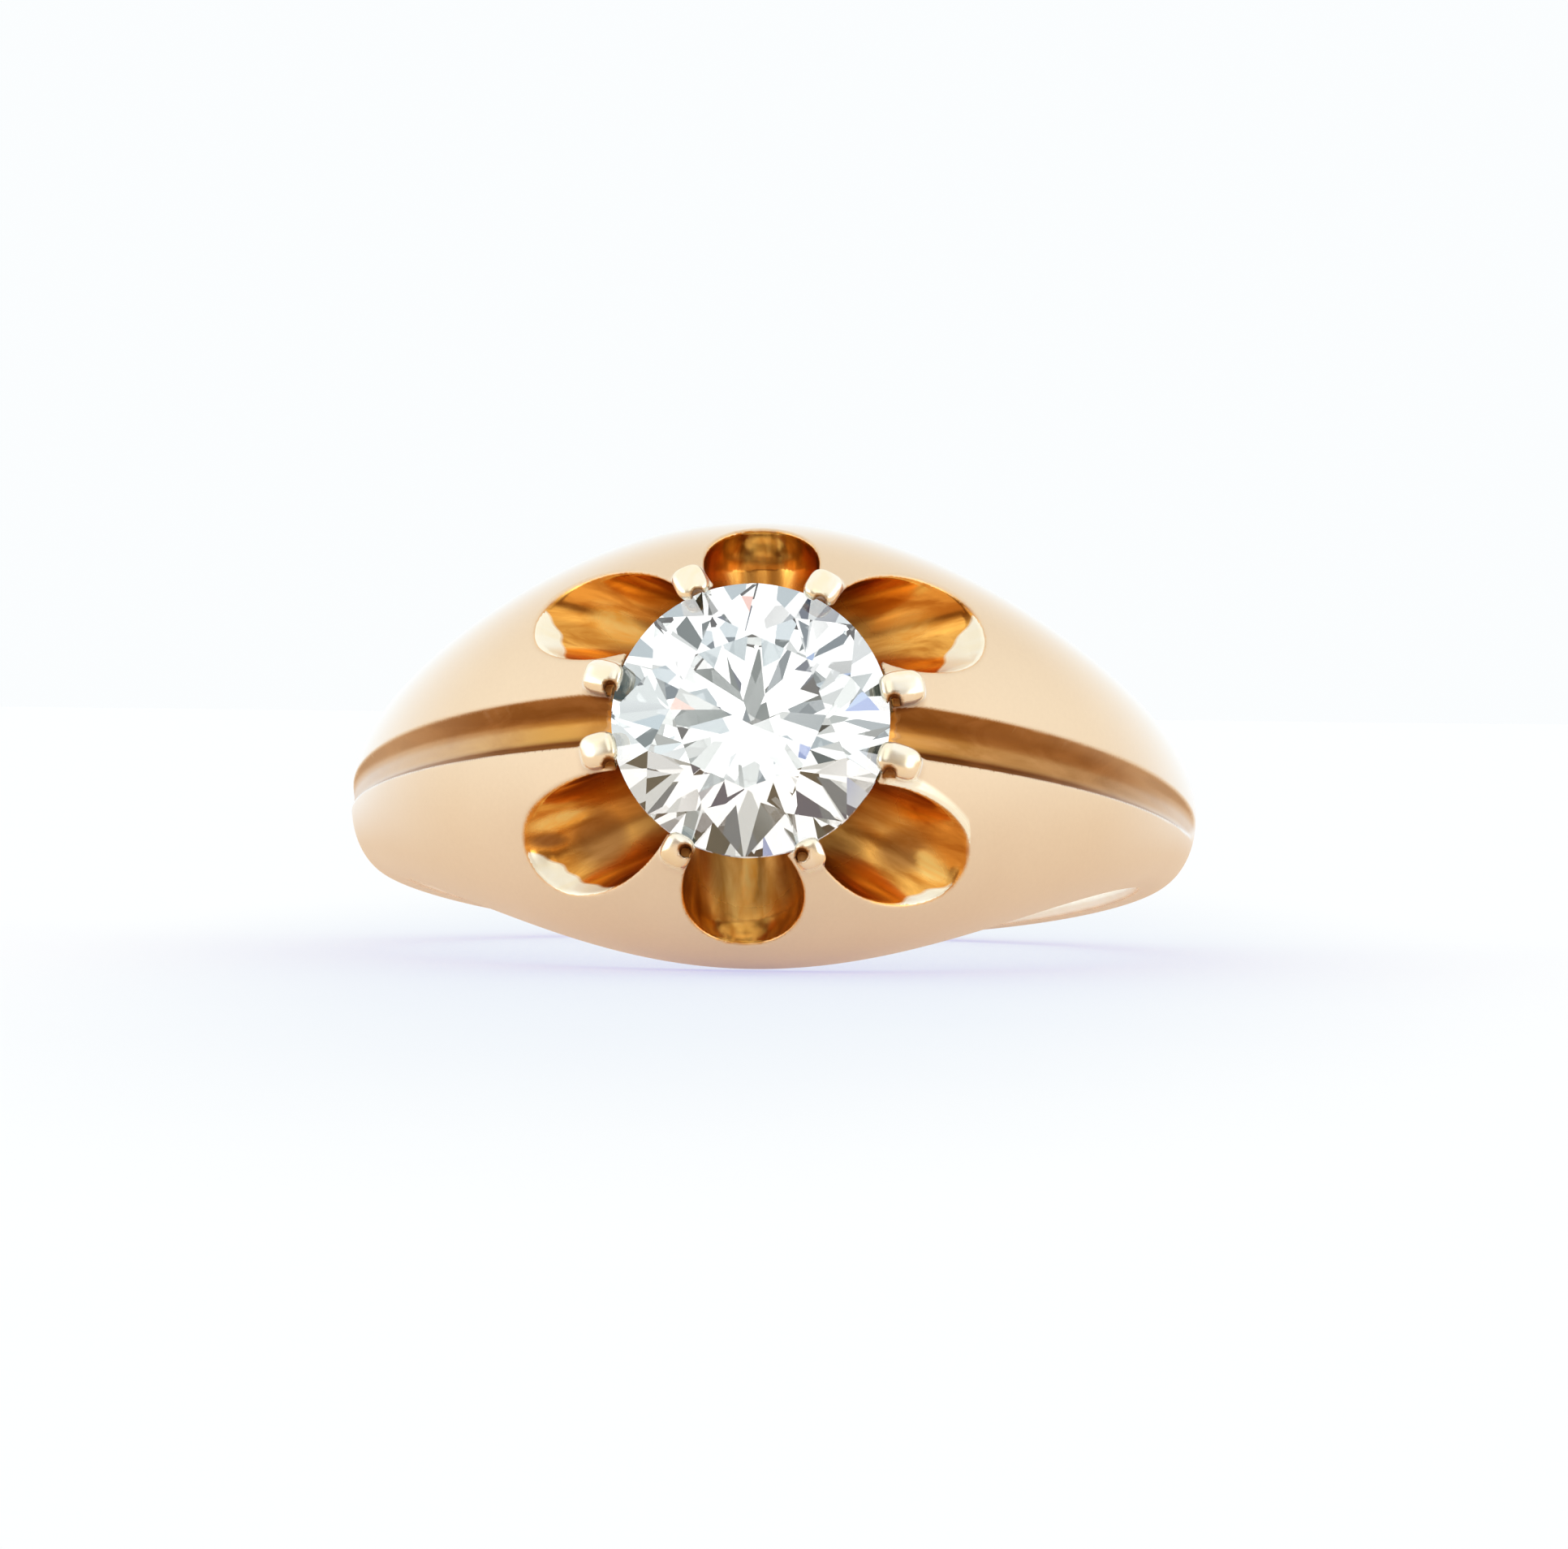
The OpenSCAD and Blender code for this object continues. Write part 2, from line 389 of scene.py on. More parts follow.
    def seat(self, turned: Grid) -> Grid:
        """Measures the room for the stone and the open well below it.

        Args:
            turned: where to measure.

        Returns:
            The distances.
        """
        s = self.setting
        x, y, z = turned
        z = z - s.girdle_z
        below = (s.seat_r - s.well_r) / s.bearing_h
        drop = np.maximum(-z - s.edge, 0.0)
        rise = np.maximum(z - s.edge, 0.0)
        radius = np.maximum(s.seat_r - drop * below, s.well_r) - rise / s.crown_steep
        return (np.hypot(x, y) - radius) * s.seat_slope

    def distance(self, places: Grid) -> Grid:
        """Measures the finished gold.

        Args:
            places: where to measure.

        Returns:
            The distances.
        """
        s = self.setting
        x, z = places[0], places[2]
        body = self.dome(places)
        low, high = self.carved_depths
        carved = np.flatnonzero((z > s.grooves_low) & (body > low) & (body < high))
        turned = self.turned(places[:, carved])
        body[carved] = soft_max(body[carved], -self.groove(turned), s.groove_lip)
        head = np.flatnonzero((z > s.head_low) & (np.abs(x) < s.head_reach))
        turned = self.turned(places[:, head])
        out, up = np.hypot(turned[0], turned[1]), turned[2] - s.girdle_z
        part = np.maximum(body[head], np.minimum(s.seat_r - out, up + s.edge))
        part = soft_min(part, self.claws(turned), s.claw_root)
        part = soft_max(part, -self.nicks(turned), s.nick_lip)
        for size in s.scoops:
            part = soft_max(part, -self.scoop(size, turned), s.scoop_lip)
        body[head] = soft_max(part, -self.seat(turned), s.seat_lip)
        inside = self.band.bore_r - np.hypot(x, z)
        return soft_max(body, inside, self.band.rim_round) + self.shrink

    def slope(self, p: Grid, step: float = 0.01) -> Grid:
        """Direction and steepness of the distance at each point.

        Args:
            p: points, one per row, in mm.
            step: how far apart the distance is taken, in mm.

        Returns:
            One slope per row.
        """
        rows = []
        for axis in range(3):
            move = np.zeros(3)
            move[axis] = step
            change = self.distance((p + move).T) - self.distance((p - move).T)
            rows.append(change / (2.0 * step))
        return np.stack(rows, axis=1)

    def settle(self, p: Grid, rounds: int, reach: float) -> Grid:
        """Moves points on to the surface of the gold.

        Args:
            p: points near the surface, one per row, in mm.
            rounds: how many times to step.
            reach: the longest step, in mm.

        Returns:
            The moved points.
        """
        for _ in range(rounds):
            g = self.slope(p)
            d = self.distance(p.T)
            step = g * (d / np.maximum((g * g).sum(axis=1), 0.05))[:, None]
            length = np.linalg.norm(step, axis=1)
            step *= np.minimum(1.0, reach / np.maximum(length, 1e-9))[:, None]
            p = p - step
        return p


@dataclass
class Skin:
    """Draws a closed skin of four-sided faces over a form, in cells of one size.

    The form is measured once in every block of cells, and finely in the blocks whose middle is
    within near block widths of the surface, batch blocks at a time.
    """

    form: RingForm
    low: Triple
    high: Triple
    cell: float
    block: int = 8
    near: float = 1.35
    batch: int = 600

    def sampled(self) -> tuple[Grid, Grid]:
        """Measures the form over the box, finely only where its surface passes.

        Returns:
            The lowest corner, and the distances by X, Y and Z.
        """
        low, high = np.array(self.low), np.array(self.high)
        n, wide = self.block, self.block * self.cell
        blocks = np.ceil((high - low) / wide).astype(int) + 1
        values = np.empty(tuple(blocks * n), np.float32)
        where = np.stack(np.meshgrid(*[np.arange(k) for k in blocks], indexing="ij"), -1)
        where = where.reshape(-1, 3)
        rough = self.form.distance((low + (where + 0.5) * wide).T)
        split = values.reshape(blocks[0], n, blocks[1], n, blocks[2], n)
        split[:] = np.sign(rough).reshape(tuple(blocks))[:, None, :, None, :, None]
        busy = where[np.abs(rough) < wide * self.near]
        steps = np.stack(np.meshgrid(*[np.arange(n)] * 3, indexing="ij"), -1).reshape(-1, 3)
        for start in range(0, len(busy), self.batch):
            spot = (busy[start:start + self.batch, None, :] * n + steps[None]).reshape(-1, 3)
            found = self.form.distance((low + spot * self.cell).T)
            values[spot[:, 0], spot[:, 1], spot[:, 2]] = found
        return low, values

    def drawn(self) -> tuple[Grid, Grid]:
        """Makes the skin: a point in each cell that the surface passes, and a face round each
        edge between cells that it crosses.

        Returns:
            Its points in mm, and its four-sided faces.
        """
        low, values = self.sampled()
        inside = values < 0.0
        shape = np.array(values.shape)
        count = np.zeros(tuple(shape - 1), np.uint8)
        for i, j, k in np.ndindex(2, 2, 2):
            a, b, c = shape - 1 + (i, j, k)
            count += inside[i:a, j:b, k:c]
        mixed = (count > 0) & (count < 8)
        index = np.full(mixed.shape, -1, np.int32)
        total = int(mixed.sum())
        index[mixed] = np.arange(total)
        places, hits, faces = np.zeros((total, 3)), np.zeros(total), []
        for axis in range(3):
            near, far = [slice(1, -1)] * 3, [slice(1, -1)] * 3
            near[axis], far[axis] = slice(0, -1), slice(1, None)
            spot = np.argwhere(inside[tuple(near)] != inside[tuple(far)]) + 1
            spot[:, axis] -= 1
            ahead = spot.copy()
            ahead[:, axis] += 1
            a, b = values[tuple(spot.T)], values[tuple(ahead.T)]
            cross = spot.astype(float)
            cross[:, axis] += a / (a - b)
            u, v = (axis + 1) % 3, (axis + 2) % 3
            ring = []
            for du, dv in ((-1, -1), (0, -1), (0, 0), (-1, 0)):
                cell = spot.copy()
                cell[:, u] += du
                cell[:, v] += dv
                corner = index[tuple(cell.T)]
                ring.append(corner)
                hits += np.bincount(corner, minlength=total)
                for k in range(3):
                    places[:, k] += np.bincount(corner, cross[:, k], minlength=total)
            quad = np.stack(ring, 1)
            inward = ~inside[tuple(spot.T)]
            quad[inward] = quad[inward][:, ::-1]
            faces.append(quad)
        return low + places / hits[:, None] * self.cell, np.concatenate(faces)


def mesh_object(name: str, points: Grid, faces: Grid) -> bpy.types.Object:
    """Makes a mesh object from arrays.

    Args:
        name: the piece's name.
        points: one point per row, in metres.
        faces: corner numbers, one face per row, all with the same number of corners.

    Returns:
        The object, linked to the scene.
    """
    mesh = bpy.data.meshes.new(name)
    starts = np.arange(len(faces), dtype=np.int32) * faces.shape[1]
    mesh.vertices.add(len(points))
    mesh.vertices.foreach_set("co", points.astype(np.float32).ravel())
    mesh.loops.add(faces.size)
    mesh.loops.foreach_set("vertex_index", faces.astype(np.int32).ravel())
    mesh.polygons.add(len(faces))
    mesh.polygons.foreach_set("loop_start", starts)
    mesh.update(calc_edges=True)
    mesh.validate()
    thing = bpy.data.objects.new(name, mesh)
    bpy.context.scene.collection.objects.link(thing)
    return thing


def corners_of(data: bpy.types.Mesh) -> Grid:
    """Reads the corners of a mesh.

    Args:
        data: the mesh.

    Returns:
        One point per row.
    """
    flat = np.empty(len(data.vertices) * 3, np.float32)
    data.vertices.foreach_get("co", flat)
    return flat.reshape(-1, 3).astype(float)


def thinned(thing: bpy.types.Object, share: float) -> None:
    """Collapses faces where the surface is plain, keeping a share of them.

    Args:
        thing: the object to thin.
        share: the share of faces to keep.
    """
    fewer = thing.modifiers.new("fewer faces", "DECIMATE")
    fewer.ratio = share
    graph = bpy.context.evaluated_depsgraph_get()
    mesh = bpy.data.meshes.new_from_object(thing.evaluated_get(graph))
    thing.modifiers.clear()
    old = thing.data
    thing.data = mesh
    bpy.data.meshes.remove(old)
    mesh.name = thing.name


@dataclass(frozen=True)
class Place:
    """Where the ring lies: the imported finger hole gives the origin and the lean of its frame."""

    origin: Vector
    axis: Vector

    @classmethod
    def of_record(cls, record: dict) -> "Place":
        """Reads the place of the ring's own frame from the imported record."""
        hole = next(m for m in record["mounts"] if m["name"] == "finger_bore")
        return cls(Vector(hole["pos_m"]), Vector(hole["axis"]).normalized())

    def turn(self) -> Grid:
        """Rotation from the ring's frame to the floor's, as a 3 by 3 array."""
        across = Vector((1.0, 0.0, 0.0))
        return np.array([across, self.axis, across.cross(self.axis)]).T

    def laid(self, points: Grid) -> Grid:
        """Brings rows of points from the ring's frame, in mm, to where it lies, in metres."""
        return points @ self.turn().T * MM + np.array(self.origin)


class Nodes:
    """A small helper that adds and links shader nodes in one tree.

    Values given to it are sockets to link, or numbers, vectors and colours to set.
    """

    def __init__(self, tree: bpy.types.NodeTree) -> None:
        """Starts from an empty tree."""
        self.tree = tree
        tree.nodes.clear()

    @classmethod
    def of_material(cls, name: str) -> tuple["Nodes", bpy.types.Material]:
        """Makes a material.

        Args:
            name: its name.

        Returns:
            The helper for its tree, and the material.
        """
        material = bpy.data.materials.new(name)
        material.use_nodes = True
        return cls(material.node_tree), material

    def put(self, socket: Socket, value: object) -> None:
        """Gives one input its value.

        Args:
            socket: the input.
            value: what it gets.
        """
        if isinstance(value, Socket):
            self.tree.links.new(value, socket)
        elif socket.type == "RGBA":
            socket.default_value = (*value, 1.0)
        else:
            socket.default_value = value

    def add(self, kind: str, **values: object) -> bpy.types.Node:
        """Adds a node and sets its values.

        Args:
            kind: Blender's name for the node.
            **values: properties, or sockets by their name with _ for a space.

        Returns:
            The node.
        """
        node = self.tree.nodes.new(kind)
        for key, value in values.items():
            if hasattr(node, key):
                setattr(node, key, value)
            else:
                self.put(node.inputs[key.replace("_", " ")], value)
        return node

    def math(self, operation: str, a: object, b: object = 0.0) -> Socket:
        """Adds a Math node.

        Args:
            operation: Blender's name for the operation.
            a: first number.
            b: second number.

        Returns:
            The result.
        """
        node = self.add("ShaderNodeMath", operation=operation)
        self.put(node.inputs[0], a)
        self.put(node.inputs[1], b)
        return node.outputs[0]

    def ramp(self, value: Socket, span: Span, least: float = 0.0,
             kind: str = "SMOOTHSTEP") -> Socket:
        """Adds a step from the least share to 1 over a span, along Blender's kind of curve."""
        return self.add("ShaderNodeMapRange", interpolation_type=kind, Value=value,
                        From_Min=span[0], From_Max=span[1], To_Min=least).outputs[0]

    def blend(self, share: Socket, a: object, b: object) -> Socket:
        """Mixes two numbers by the share of b."""
        kept = self.math("MULTIPLY", self.math("SUBTRACT", 1.0, share), a)
        return self.math("ADD", kept, self.math("MULTIPLY", share, b))

    def mix(self, share: object, a: object, b: object) -> Socket:
        """Mixes two colours.

        Args:
            share: how much of b.
            a: first colour.
            b: second colour.

        Returns:
            The mixed colour.
        """
        node = self.add("ShaderNodeMix", data_type="RGBA")
        for number, value in ((0, share), (6, a), (7, b)):
            self.put(node.inputs[number], value)
        return node.outputs[2]

    def finish(self, **values: object) -> None:
        """Ends a material with its shader, which gets the values."""
        shader = self.add("ShaderNodeBsdfPrincipled", **values)
        self.put(self.add("ShaderNodeOutputMaterial").inputs["Surface"], shader.outputs[0])


class SharedGroup:
    """A shader node group with a Height and a Shade out, which several materials share."""

    NAME = ""
    TAKES: dict[str, str] = {}

    @classmethod
    def tree(cls) -> bpy.types.NodeTree:
        """The node group, built once.

        Returns:
            The group, with the inputs that it takes.
        """
        if cls.NAME in bpy.data.node_groups:
            return bpy.data.node_groups[cls.NAME]
        group = bpy.data.node_groups.new(cls.NAME, "ShaderNodeTree")
        for name, kind in cls.TAKES.items():
            group.interface.new_socket(name, in_out="INPUT", socket_type="NodeSocket" + kind)
        for name in ("Height", "Shade"):
            group.interface.new_socket(name, in_out="OUTPUT", socket_type="NodeSocketFloat")
        n = Nodes(group)
        height, shade = cls.fill(n, n.add("NodeGroupInput").outputs)
        n.add("NodeGroupOutput", Height=height, Shade=shade)
        return group

    @classmethod
    def fill(cls, n: Nodes, given: bpy.types.NodeOutputs) -> tuple[Socket, Socket]:
        """Adds the group's own nodes, from the inputs given to the height and the shade."""
        raise NotImplementedError


class GrainGroup(SharedGroup):
    """A fine even grain with soft cloudy patches, shared by the gold and the floor."""

    NAME = "Fine grain"
    TAKES = {"Size": "Float", "Strength": "Float"}
    BROAD = 0.045

    @classmethod
    def fill(cls, n: Nodes, given: bpy.types.NodeOutputs) -> tuple[Socket, Socket]:
        """Adds the grain and the patches, as the base class says."""
        place = n.add("ShaderNodeTexCoord").outputs["Object"]
        per_metre = n.math("DIVIDE", 1.0, given["Size"])
        fine = n.add("ShaderNodeTexNoise", Vector=place, Scale=per_metre, Detail=3.0,
                     Roughness=0.6).outputs[0]
        broad = n.add("ShaderNodeTexNoise", Vector=place, Detail=2.0,
                      Scale=n.math("MULTIPLY", per_metre, cls.BROAD)).outputs[0]
        height = n.math("MULTIPLY", n.math("SUBTRACT", fine, 0.5), given["Strength"])
        return height, n.math("ADD", n.math("MULTIPLY", fine, 0.5),
                              n.math("MULTIPLY", broad, 0.5))


class ScratchGroup(SharedGroup):
    """Hair-fine lines left by cutting and polishing, shared by the gold and the stone.

    The lines run along the second coordinate of Place.
    """

    NAME = "Polishing lines"
    TAKES = {"Place": "Vector", "Spacing": "Float", "Strength": "Float"}
    BROAD = 0.1
    STRETCH = (1.0, 0.09, 1.0)
    BROAD_STRETCH = (1.0, 0.3, 1.0)
    SHADES = (0.38, 0.62)

    @classmethod
    def fill(cls, n: Nodes, given: bpy.types.NodeOutputs) -> tuple[Socket, Socket]:
        """Adds the lines and the broader streaks, as the base class says."""
        stretch, spread = (n.add("ShaderNodeMapping", Vector=given["Place"], Scale=scale).outputs[0]
                           for scale in (cls.STRETCH, cls.BROAD_STRETCH))
        per_metre = n.math("DIVIDE", 1.0, given["Spacing"])
        fine = n.add("ShaderNodeTexNoise", Vector=stretch, Scale=per_metre, Detail=2.0).outputs[0]
        broad = n.add("ShaderNodeTexNoise", Vector=spread, Detail=4.0, Roughness=0.55,
                      Distortion=0.6, Scale=n.math("MULTIPLY", per_metre, cls.BROAD)).outputs[0]
        height = n.math("MULTIPLY", n.math("SUBTRACT", fine, 0.5), given["Strength"])
        return height, n.ramp(broad, cls.SHADES, kind="LINEAR")


@dataclass(frozen=True)
class Look:
    """Two colours, metal share and roughness of one finish, and how much grain or lines it shows.

    The mask counts as none below the first of its edges and as full above the second.
    """

    colour: Colour
    deep: Colour
    metal: float
    rough: float
    grain: float
    lines: float
    edges: Span = (0.0, 1.0)


@dataclass(frozen=True)
class GoldFinish:
    """Rosy yellow gold: satin outside, polished where it is scooped, and in the grooves a finish of
    their own, darkened by painted shade.

    The satin's colour is painted paler towards its edges, less so on its under side: a painted
    sheen, as seen against a bright ground. Painted highlights lie in the scoops, at their outer
    ends, on the claws and on the bore's rim, and painted shade in the grooves, the nicks and round
    the stone.
    """

    satin: Look = Look((0.85, 0.68, 0.475), (0.765, 0.59, 0.40), 0.34, 0.48, 1.0, 0.0)
    looks: tuple[tuple[Mask, Look], ...] = (
        (Mask.POLISHED, Look((1.0, 0.52, 0.11), (0.58, 0.22, 0.03), 1.0, 0.18, 0.1, 0.7)),
        # painted highlight: pale streaky gold in given ovals in the scoops
        (Mask.PAINTED_HIGHLIGHT, Look((1.0, 0.68, 0.20), (1.0, 0.45, 0.05), 0.25, 0.3, 0.1, 0.8)),
        # painted highlight: near white at the scoops' outer ends and beside the last scoop
        (Mask.END, Look((1.0, 0.96, 0.80), (0.99, 0.90, 0.66), 0.25, 0.25, 0.1, 1.0, (0.45, 0.55))),
        # groove finish, and painted shade: the dark brown colour stands for the shade in the grooves
        (Mask.GROOVE_FINISH_AND_SHADE, Look((0.49, 0.25, 0.06), (0.39, 0.17, 0.03), 1.0, 0.36, 0.6, 0.8)),
        # painted highlight: the bore's rim and inner wall are painted near white
        (Mask.RIM_HIGHLIGHT, Look((1.0, 0.96, 0.87), (0.98, 0.93, 0.82), 0.35, 0.25, 0.1, 0.6)),
        # polished claws, and painted highlight: the near white colour stands for their bright
        # reflections
        (Mask.RAISED_POLISH_AND_HIGHLIGHT, Look((1.0, 0.95, 0.82), (1.0, 0.90, 0.66), 0.75, 0.2, 0.1, 0.5)),
        # painted shade: the dark brown that stands for shade on the groove walls, in the nicks and
        # round the stone
        (Mask.WALL, Look((0.40, 0.19, 0.06), (0.30, 0.13, 0.03), 1.0, 0.4, 0.8, 0.8)),
    )
    # painted sheen: the satin is mixed towards this pale colour and metal share at its edges, less
    # where it faces down
    edge: Colour = (0.93, 0.96, 0.97)
    sheen_metal: float = 0.1
    sheen_span: Span = (0.40, 1.0)
    lit_span: Span = (-0.5, 0.1)
    unlit: float = 0.15
    # painted light: the pale colour that gold gets where it is seen through the stone
    through_stone: Colour = (0.86, 0.89, 0.88)
    grain_size: float = 0.00011
    grain_strength: float = 1.3
    grain_rough: float = 0.15
    line_spacing: float = 0.00006
    line_strength: float = 0.25
    bump: float = 0.25
    bump_height: float = 0.00001

    def material(self) -> bpy.types.Material:
        """Builds the material.

        Returns:
            The gold, which reads the masks on the mesh.
        """
        n, gold = Nodes.of_material("satin and polished gold")
        grain = n.add("ShaderNodeGroup", node_tree=GrainGroup.tree(),
                      Size=self.grain_size, Strength=self.grain_strength).outputs
        place = n.add("ShaderNodeAttribute", attribute_name=CUT_PLACE).outputs["Vector"]
        lines = n.add("ShaderNodeGroup", node_tree=ScratchGroup.tree(), Place=place,
                      Spacing=self.line_spacing, Strength=self.line_strength).outputs
        facing = n.add("ShaderNodeLayerWeight", Blend=0.5).outputs["Facing"]
        normal = n.add("ShaderNodeNewGeometry").outputs["Normal"]
        rise = n.add("ShaderNodeSeparateXYZ", Vector=normal).outputs["Z"]
        # painted sheen: paler where the surface turns away from view, less where it faces down
        sheen = n.math("MULTIPLY", n.ramp(facing, self.sheen_span),
                      n.ramp(rise, self.lit_span, self.unlit))
        look = self.satin
        colour = n.mix(sheen, n.mix(grain["Shade"], look.deep, look.colour), self.edge)
        metal = n.blend(sheen, look.metal, self.sheen_metal)
        rough, grained, lined = look.rough, look.grain, look.lines
        for mask, look in self.looks:
            painted = n.add("ShaderNodeAttribute", attribute_name=mask.value).outputs["Fac"]
            share = n.ramp(painted, look.edges, kind="LINEAR")
            colour = n.mix(share, colour, n.mix(lines["Shade"], look.deep, look.colour))
            metal = n.blend(share, metal, look.metal)
            rough = n.blend(share, rough, look.rough)
            grained = n.blend(share, grained, look.grain)
            lined = n.blend(share, lined, look.lines)
        # painted light: where the gold is seen through the stone, its colour is painted pale
        passed = n.math("MINIMUM", n.add("ShaderNodeLightPath").outputs["Transmission Depth"], 1.0)
        colour = n.mix(passed, colour, self.through_stone)
        shift = n.math("MULTIPLY", n.math("SUBTRACT", grain["Shade"], 0.5), self.grain_rough)
        rough = n.math("ADD", rough, n.math("MULTIPLY", shift, grained))
        height = n.math("ADD", n.math("MULTIPLY", grain["Height"], grained),
                        n.math("MULTIPLY", lines["Height"], lined))
        bump = n.add("ShaderNodeBump", Strength=self.bump, Distance=self.bump_height, Height=height)
        n.finish(Base_Color=colour, Metallic=metal, Roughness=rough, Normal=bump.outputs[0])
        return gold


@dataclass(frozen=True)
class StoneFinish:
    """Clear polished stone."""

    tint: Colour = (0.985, 0.992, 0.995)
    bending: float = 2.417
    line_spacing: float = 0.0003
    line_strength: float = 0.02
    bump: float = 0.02
    bump_height: float = 0.000002

    def material(self) -> bpy.types.Material:
        """Builds the material.

        Returns:
            The stone.
        """
        n, clear = Nodes.of_material("clear brilliant stone")
        lines = n.add("ShaderNodeGroup", node_tree=ScratchGroup.tree(),
                      Place=n.add("ShaderNodeTexCoord").outputs["Object"],
                      Spacing=self.line_spacing, Strength=self.line_strength)
        bump = n.add("ShaderNodeBump", Strength=self.bump, Distance=self.bump_height,
                     Height=lines.outputs["Height"])
        n.finish(Base_Color=self.tint, Metallic=0.0, Roughness=0.0, IOR=self.bending,
                 Transmission_Weight=1.0, Normal=bump.outputs[0])
        return clear


@dataclass
class RingBody:
    """The gold body: shank, shoulders, domed head, scoops, grooves and claws.

    Each span says between which two measures a mask fades, in mm, or in shares for spot_edge and
    highlight_over. The end waves are a broad and a fine one, each with how close and how high it is.
    """

    place: Place
    form: RingForm = field(default_factory=RingForm)
    finish: GoldFinish = field(default_factory=GoldFinish)
    low: Triple = (-11.2, -6.0, -11.2)
    high: Triple = (11.2, 6.0, 13.6)
    cell: float = 0.062
    quick_cell: float = 0.12
    most_faces: int = 190000
    settle_rounds: int = 2
    settle_reach: float = 0.6
    head_z: float = 8.0
    cut_edge: Span = (-0.06, -0.015)
    claw_edge: Span = (0.02, 0.07)
    claw_foot: Span = (-0.25, 0.0)
    groove_edge: Span = (0.03, 0.09)
    groove_start: float = 0.1
    groove_fade: float = 0.65
    fade_run: Span = (4.5, 9.5)
    wall_up: Span = (-0.02, 0.06)
    wall_down: Span = (-0.03, 0.03)
    rim_edge: Span = (0.05, 0.25)
    nick_edge: Span = (0.03, 0.07)
    nick_depth: float = 0.2
    end_edge: Span = (0.05, 0.12)
    end_lean: float = 0.8
    end_from: float = 0.10
    end_wave: float = 0.09
    end_waves: tuple[Span, Span] = ((4.0, 1.0), (15.0, 0.4))
    wave_shift: float = 2.0
    least_sideways: float = 0.5
    # painted highlights: ovals in the scoops
    painted_highlights: tuple[Spot, ...] = (
        Spot(4.25, -2.9, 0.75, 0.4, -45.0, 0.9),
        Spot(3.2, -1.95, 1.1, 0.5, -35.0, 0.5),
        Spot(3.5, 2.75, 1.0, 0.5, 30.0, 0.5),
        Spot(-3.3, 2.5, 1.1, 0.55, -30.0, 1.0),
        Spot(0.0, -3.7, 1.3, 1.1, 0.0, 0.6),
        Spot(0.03, -3.3, 1.2, 0.34, 90.0, 1.0),
        Spot(4.3, -3.0, 0.7, 0.4, -40.0, 1.0),
        Spot(-4.45, -2.2, 1.2, 0.26, 18.0, 1.0),
    )
    # painted shade: darker ovals in the two lower side scoops and along the right groove
    shades: tuple[Spot, ...] = (
        Spot(-4.75, -2.65, 0.7, 0.24, 8.0, 1.0),
        Spot(-3.5, -2.55, 1.1, 1.1, 0.0, 0.9),
        Spot(3.6, -2.6, 1.0, 0.8, 0.0, 0.8),
        Spot(6.4, -0.1, 4.2, 0.9, 0.0, 0.9),
    )
    spot_edge: Span = (0.35, 1.0)
    under_stone: Span = (3.3, 4.5)
    # painted shade in the scoops round the stone, fading out between the distances of under_stone
    under_shade: float = 0.6
    shade_foot: Span = (3.0, 5.0)
    highlight_over: Span = (0.5, 0.9)
    bright_run: Span = (3.1, 5.3)
    bright_aside: Span = (0.5, 0.8)
    bright_fade: Span = (0.1, 0.15)
    bright_wide: float = 0.42
    bright_taper: float = 0.5
    line_reach: float = 0.25
    cut_apart: float = 7.0
    grooves_apart: float = 60.0

    def mesh(self) -> bpy.types.Object:
        """Draws the skin of the form, thins it and brings it back on to the form.

        Returns:
            The ring's object, in the place where the ring lies.
        """
        cell = self.cell
        points, faces = Skin(self.form, self.low, self.high, cell).drawn()
        LOG.info("skin of %d points and %d faces", len(points), len(faces))
        thing = mesh_object("gold_ring", points, faces)
        triangles = 2 * len(faces)
        if triangles > self.most_faces:
            thinned(thing, self.most_faces / triangles)
        data = thing.data
        reach = cell * self.settle_reach
        points = self.form.settle(corners_of(data), self.settle_rounds, reach)
        slopes = self.form.slope(points)
        slopes /= np.maximum(np.linalg.norm(slopes, axis=1), 1e-9)[:, None]
        self.paint(data, points)
        data.vertices.foreach_set("co", self.place.laid(points).astype(np.float32).ravel())
        data.polygons.foreach_set("use_smooth", [True] * len(data.polygons))
        data.update()
        data.normals_split_custom_set_from_vertices(slopes @ self.place.turn().T)
        return thing

    def paint(self, data: bpy.types.Mesh, points: Grid) -> None:
        """Marks where each finish is, and where highlights and shade are painted: the dome is satin,
        and what is cut or raised is not.

        Args:
            data: the mesh.
            points: its points in the ring's frame, one per row, in mm.
        """
        form, s = self.form, self.form.setting
        turned = form.turned(points.T)
        x, y, z = turned
        up, out, in_head = z - s.girdle_z, np.hypot(x, y), z > self.head_z
        cut = 1.0 - ramp(form.dome(points.T), *self.cut_edge)
        # the claws: polished, with a painted highlight
        claw = 1.0 - ramp(np.abs(form.claws(turned)), *self.claw_edge)
        claw *= in_head * ramp(up, *self.claw_foot)
        groove = 1.0 - ramp(form.groove(turned), *self.groove_edge)
        groove *= (out > s.seat_r + self.groove_start) * (z > s.grooves_low)
        # painted highlight round the bore; the painted shade is kept off it
        rim = 1.0 - ramp(np.hypot(points[:, 0], z) - form.band.bore_r, *self.rim_edge)
        # groove finish with painted shade, which fades towards the far ends of the grooves
        grooved = cut * groove * (1.0 - self.groove_fade * ramp(np.abs(x), *self.fade_run))
        # painted highlights at the outer ends of the side scoops, and a pale band beside the last
        # one
        end = np.maximum(cut * self.end_highlights(turned), (1.0 - cut) * self.bright_cut_highlight(turned))
        nick = 1.0 - ramp(np.abs(form.nicks(turned)), *self.nick_edge)
